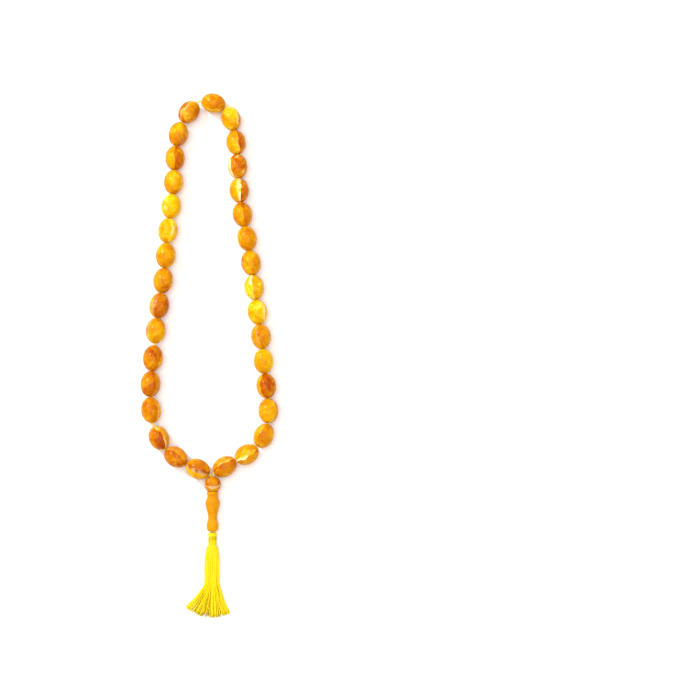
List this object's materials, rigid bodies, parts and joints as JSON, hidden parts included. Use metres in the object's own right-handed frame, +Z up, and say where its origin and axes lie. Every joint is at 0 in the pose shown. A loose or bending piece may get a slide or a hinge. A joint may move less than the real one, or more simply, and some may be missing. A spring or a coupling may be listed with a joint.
{
  "type": "misbaha prayer beads",
  "caption": "Looped strand of oval marbled amber-coloured beads with a round head bead, a turned imam piece and a fanned yellow yarn tassel, lying flat.",
  "frame": {"origin": "on the surface it lies on, under the middle of the outline", "axes": "+Z up from the surface, +Y along the strand from the tassel towards the top bead, +X to the right"},
  "size_m": [0.0738, 0.2839, 0.0109],
  "materials": {
    "bead_resin": "polished cast resin, marbled orange, gold and white",
    "imam_resin": "satin turned resin, plain orange",
    "cord": "twisted yellow nylon cord",
    "tassel_yarn": "soft sheen of yellow rayon yarn"
  },
  "bodies": {
    "strand_cord": {"loop_cord": "cord"},
    "bead_01": {"bead_01": "bead_resin"},
    "bead_02": {"bead_02": "bead_resin"},
    "bead_03": {"bead_03": "bead_resin"},
    "bead_04": {"bead_04": "bead_resin"},
    "bead_05": {"bead_05": "bead_resin"},
    "bead_06": {"bead_06": "bead_resin"},
    "bead_07": {"bead_07": "bead_resin"},
    "bead_08": {"bead_08": "bead_resin"},
    "bead_09": {"bead_09": "bead_resin"},
    "bead_10": {"bead_10": "bead_resin"},
    "bead_11": {"bead_11": "bead_resin"},
    "bead_12": {"bead_12": "bead_resin"},
    "bead_13": {"bead_13": "bead_resin"},
    "bead_14": {"bead_14": "bead_resin"},
    "bead_15": {"bead_15": "bead_resin"},
    "bead_16": {"bead_16": "bead_resin"},
    "bead_17": {"bead_17": "bead_resin"},
    "bead_18": {"bead_18": "bead_resin"},
    "bead_19": {"bead_19": "bead_resin"},
    "bead_20": {"bead_20": "bead_resin"},
    "bead_21": {"bead_21": "bead_resin"},
    "bead_22": {"bead_22": "bead_resin"},
    "bead_23": {"bead_23": "bead_resin"},
    "bead_24": {"bead_24": "bead_resin"},
    "bead_25": {"bead_25": "bead_resin"},
    "bead_26": {"bead_26": "bead_resin"},
    "bead_27": {"bead_27": "bead_resin"},
    "bead_28": {"bead_28": "bead_resin"},
    "bead_29": {"bead_29": "bead_resin"},
    "bead_30": {"bead_30": "bead_resin"},
    "bead_31": {"bead_31": "bead_resin"},
    "bead_32": {"bead_32": "bead_resin"},
    "bead_33": {"bead_33": "bead_resin"},
    "head_bead": {"head_bead": "bead_resin", "head_bead_cord": "cord"},
    "imam": {"imam": "imam_resin", "imam_cord": "cord"},
    "tassel": {"tassel_head": "tassel_yarn", "cord_knot": "cord", "tassel_binding": "tassel_yarn", "tassel_skirt": "tassel_yarn"}
  },
  "joints": [
    {"name": "head_bead_swing", "type": "hinge", "parent": "strand_cord", "child": "head_bead", "pos_m": [0.00216, -0.0668, 0.00475], "axis": [0, 0, 1], "range_deg": [-5, 10]},
    {"name": "imam_lift", "type": "hinge", "parent": "head_bead", "child": "imam", "pos_m": [0.00216, -0.07126, 0.00445], "axis": [-1, 0, 0], "range_deg": [0, 80]},
    {"name": "tassel_swing", "type": "hinge", "parent": "imam", "child": "tassel", "pos_m": [0.00216, -0.09779, 0.00266], "axis": [0, 0, 1], "range_deg": [-30, 30]},
    {"name": "slide_bead_03", "type": "slide", "parent": "strand_cord", "child": "bead_03", "axis": [-0.4384, 0.8988, 0], "range_m": [0, 0.0013]},
    {"name": "slide_bead_06", "type": "slide", "parent": "strand_cord", "child": "bead_06", "axis": [0.0872, 0.9962, 0], "range_m": [0, 0.001]},
    {"name": "turn_bead_01", "type": "hinge", "parent": "strand_cord", "child": "bead_01", "pos_m": [-0.0057, -0.0631, 0.00535], "axis": [-0.9063, 0.4226, 0], "continuous": true},
    {"name": "turn_bead_02", "type": "hinge", "parent": "strand_cord", "child": "bead_02", "pos_m": [-0.01751, -0.05668, 0.00535], "axis": [-0.848, 0.5299, 0], "continuous": true},
    {"name": "turn_bead_04", "type": "hinge", "parent": "strand_cord", "child": "bead_04", "pos_m": [-0.03108, -0.03173, 0.00535], "axis": [-0.1392, 0.9903, 0], "continuous": true},
    {"name": "turn_bead_05", "type": "hinge", "parent": "strand_cord", "child": "bead_05", "pos_m": [-0.03157, -0.01763, 0.00535], "axis": [0.0698, 0.9976, 0], "continuous": true},
    {"name": "turn_bead_07", "type": "hinge", "parent": "strand_cord", "child": "bead_07", "pos_m": [-0.02918, 0.01109, 0.00535], "axis": [0.0872, 0.9962, 0], "continuous": true},
    {"name": "turn_bead_08", "type": "hinge", "parent": "strand_cord", "child": "bead_08", "pos_m": [-0.0275, 0.02477, 0.00535], "axis": [0.1564, 0.9877, 0], "continuous": true},
    {"name": "turn_bead_09", "type": "hinge", "parent": "strand_cord", "child": "bead_09", "pos_m": [-0.02558, 0.03839, 0.00535], "axis": [0.1219, 0.9925, 0], "continuous": true},
    {"name": "turn_bead_10", "type": "hinge", "parent": "strand_cord", "child": "bead_10", "pos_m": [-0.02438, 0.05212, 0.00535], "axis": [0.0523, 0.9986, 0], "continuous": true},
    {"name": "turn_bead_11", "type": "hinge", "parent": "strand_cord", "child": "bead_11", "pos_m": [-0.02331, 0.06579, 0.00535], "axis": [0.1045, 0.9945, 0], "continuous": true},
    {"name": "turn_bead_12", "type": "hinge", "parent": "strand_cord", "child": "bead_12", "pos_m": [-0.02178, 0.07923, 0.00535], "axis": [0.1219, 0.9925, 0], "continuous": true},
    {"name": "turn_bead_13", "type": "hinge", "parent": "strand_cord", "child": "bead_13", "pos_m": [-0.02061, 0.09261, 0.00535], "axis": [0.0523, 0.9986, 0], "continuous": true},
    {"name": "turn_bead_14", "type": "hinge", "parent": "strand_cord", "child": "bead_14", "pos_m": [-0.02002, 0.10592, 0.00535], "axis": [0.0349, 0.9994, 0], "continuous": true},
    {"name": "turn_bead_15", "type": "hinge", "parent": "strand_cord", "child": "bead_15", "pos_m": [-0.01838, 0.11931, 0.00535], "axis": [0.2079, 0.9781, 0], "continuous": true},
    {"name": "turn_bead_16", "type": "hinge", "parent": "strand_cord", "child": "bead_16", "pos_m": [-0.01275, 0.13166, 0.00535], "axis": [0.6018, 0.7986, 0], "continuous": true},
    {"name": "turn_bead_17", "type": "hinge", "parent": "strand_cord", "child": "bead_17", "pos_m": [0.00053, 0.13663, 0.00535], "axis": [0.9781, -0.2079, 0], "continuous": true},
    {"name": "turn_bead_18", "type": "hinge", "parent": "strand_cord", "child": "bead_18", "pos_m": [0.01026, 0.12787, 0.00535], "axis": [0.309, -0.9511, 0], "continuous": true},
    {"name": "turn_bead_19", "type": "hinge", "parent": "strand_cord", "child": "bead_19", "pos_m": [0.01307, 0.11466, 0.00535], "axis": [0.1045, -0.9945, 0], "continuous": true},
    {"name": "turn_bead_20", "type": "hinge", "parent": "strand_cord", "child": "bead_20", "pos_m": [0.01412, 0.10133, 0.00535], "axis": [0.0523, -0.9986, 0], "continuous": true},
    {"name": "turn_bead_21", "type": "hinge", "parent": "strand_cord", "child": "bead_21", "pos_m": [0.01505, 0.08802, 0.00535], "axis": [0.0872, -0.9962, 0], "continuous": true},
    {"name": "turn_bead_22", "type": "hinge", "parent": "strand_cord", "child": "bead_22", "pos_m": [0.01693, 0.07468, 0.00535], "axis": [0.1908, -0.9816, 0], "continuous": true},
    {"name": "turn_bead_23", "type": "hinge", "parent": "strand_cord", "child": "bead_23", "pos_m": [0.01949, 0.06147, 0.00535], "axis": [0.1908, -0.9816, 0], "continuous": true},
    {"name": "turn_bead_24", "type": "hinge", "parent": "strand_cord", "child": "bead_24", "pos_m": [0.02173, 0.04809, 0.00535], "axis": [0.1392, -0.9903, 0], "continuous": true},
    {"name": "turn_bead_25", "type": "hinge", "parent": "strand_cord", "child": "bead_25", "pos_m": [0.0235, 0.03469, 0.00535], "axis": [0.1219, -0.9925, 0], "continuous": true},
    {"name": "turn_bead_26", "type": "hinge", "parent": "strand_cord", "child": "bead_26", "pos_m": [0.02538, 0.02127, 0.00535], "axis": [0.1564, -0.9877, 0], "continuous": true},
    {"name": "turn_bead_27", "type": "hinge", "parent": "strand_cord", "child": "bead_27", "pos_m": [0.02737, 0.00795, 0.00535], "axis": [0.1392, -0.9903, 0], "continuous": true},
    {"name": "turn_bead_28", "type": "hinge", "parent": "strand_cord", "child": "bead_28", "pos_m": [0.02889, -0.00538, 0.00535], "axis": [0.0872, -0.9962, 0], "continuous": true},
    {"name": "turn_bead_29", "type": "hinge", "parent": "strand_cord", "child": "bead_29", "pos_m": [0.03041, -0.01866, 0.00535], "axis": [0.1392, -0.9903, 0], "continuous": true},
    {"name": "turn_bead_30", "type": "hinge", "parent": "strand_cord", "child": "bead_30", "pos_m": [0.03158, -0.03203, 0.00535], "axis": [0.0349, -0.9994, 0], "continuous": true},
    {"name": "turn_bead_31", "type": "hinge", "parent": "strand_cord", "child": "bead_31", "pos_m": [0.02922, -0.0454, 0.00535], "axis": [-0.3746, -0.9272, 0], "continuous": true},
    {"name": "turn_bead_32", "type": "hinge", "parent": "strand_cord", "child": "bead_32", "pos_m": [0.02023, -0.05539, 0.00535], "axis": [-0.8829, -0.4695, 0], "continuous": true},
    {"name": "turn_bead_33", "type": "hinge", "parent": "strand_cord", "child": "bead_33", "pos_m": [0.00856, -0.06186, 0.00535], "axis": [-0.866, -0.5, 0], "continuous": true}
  ]
}
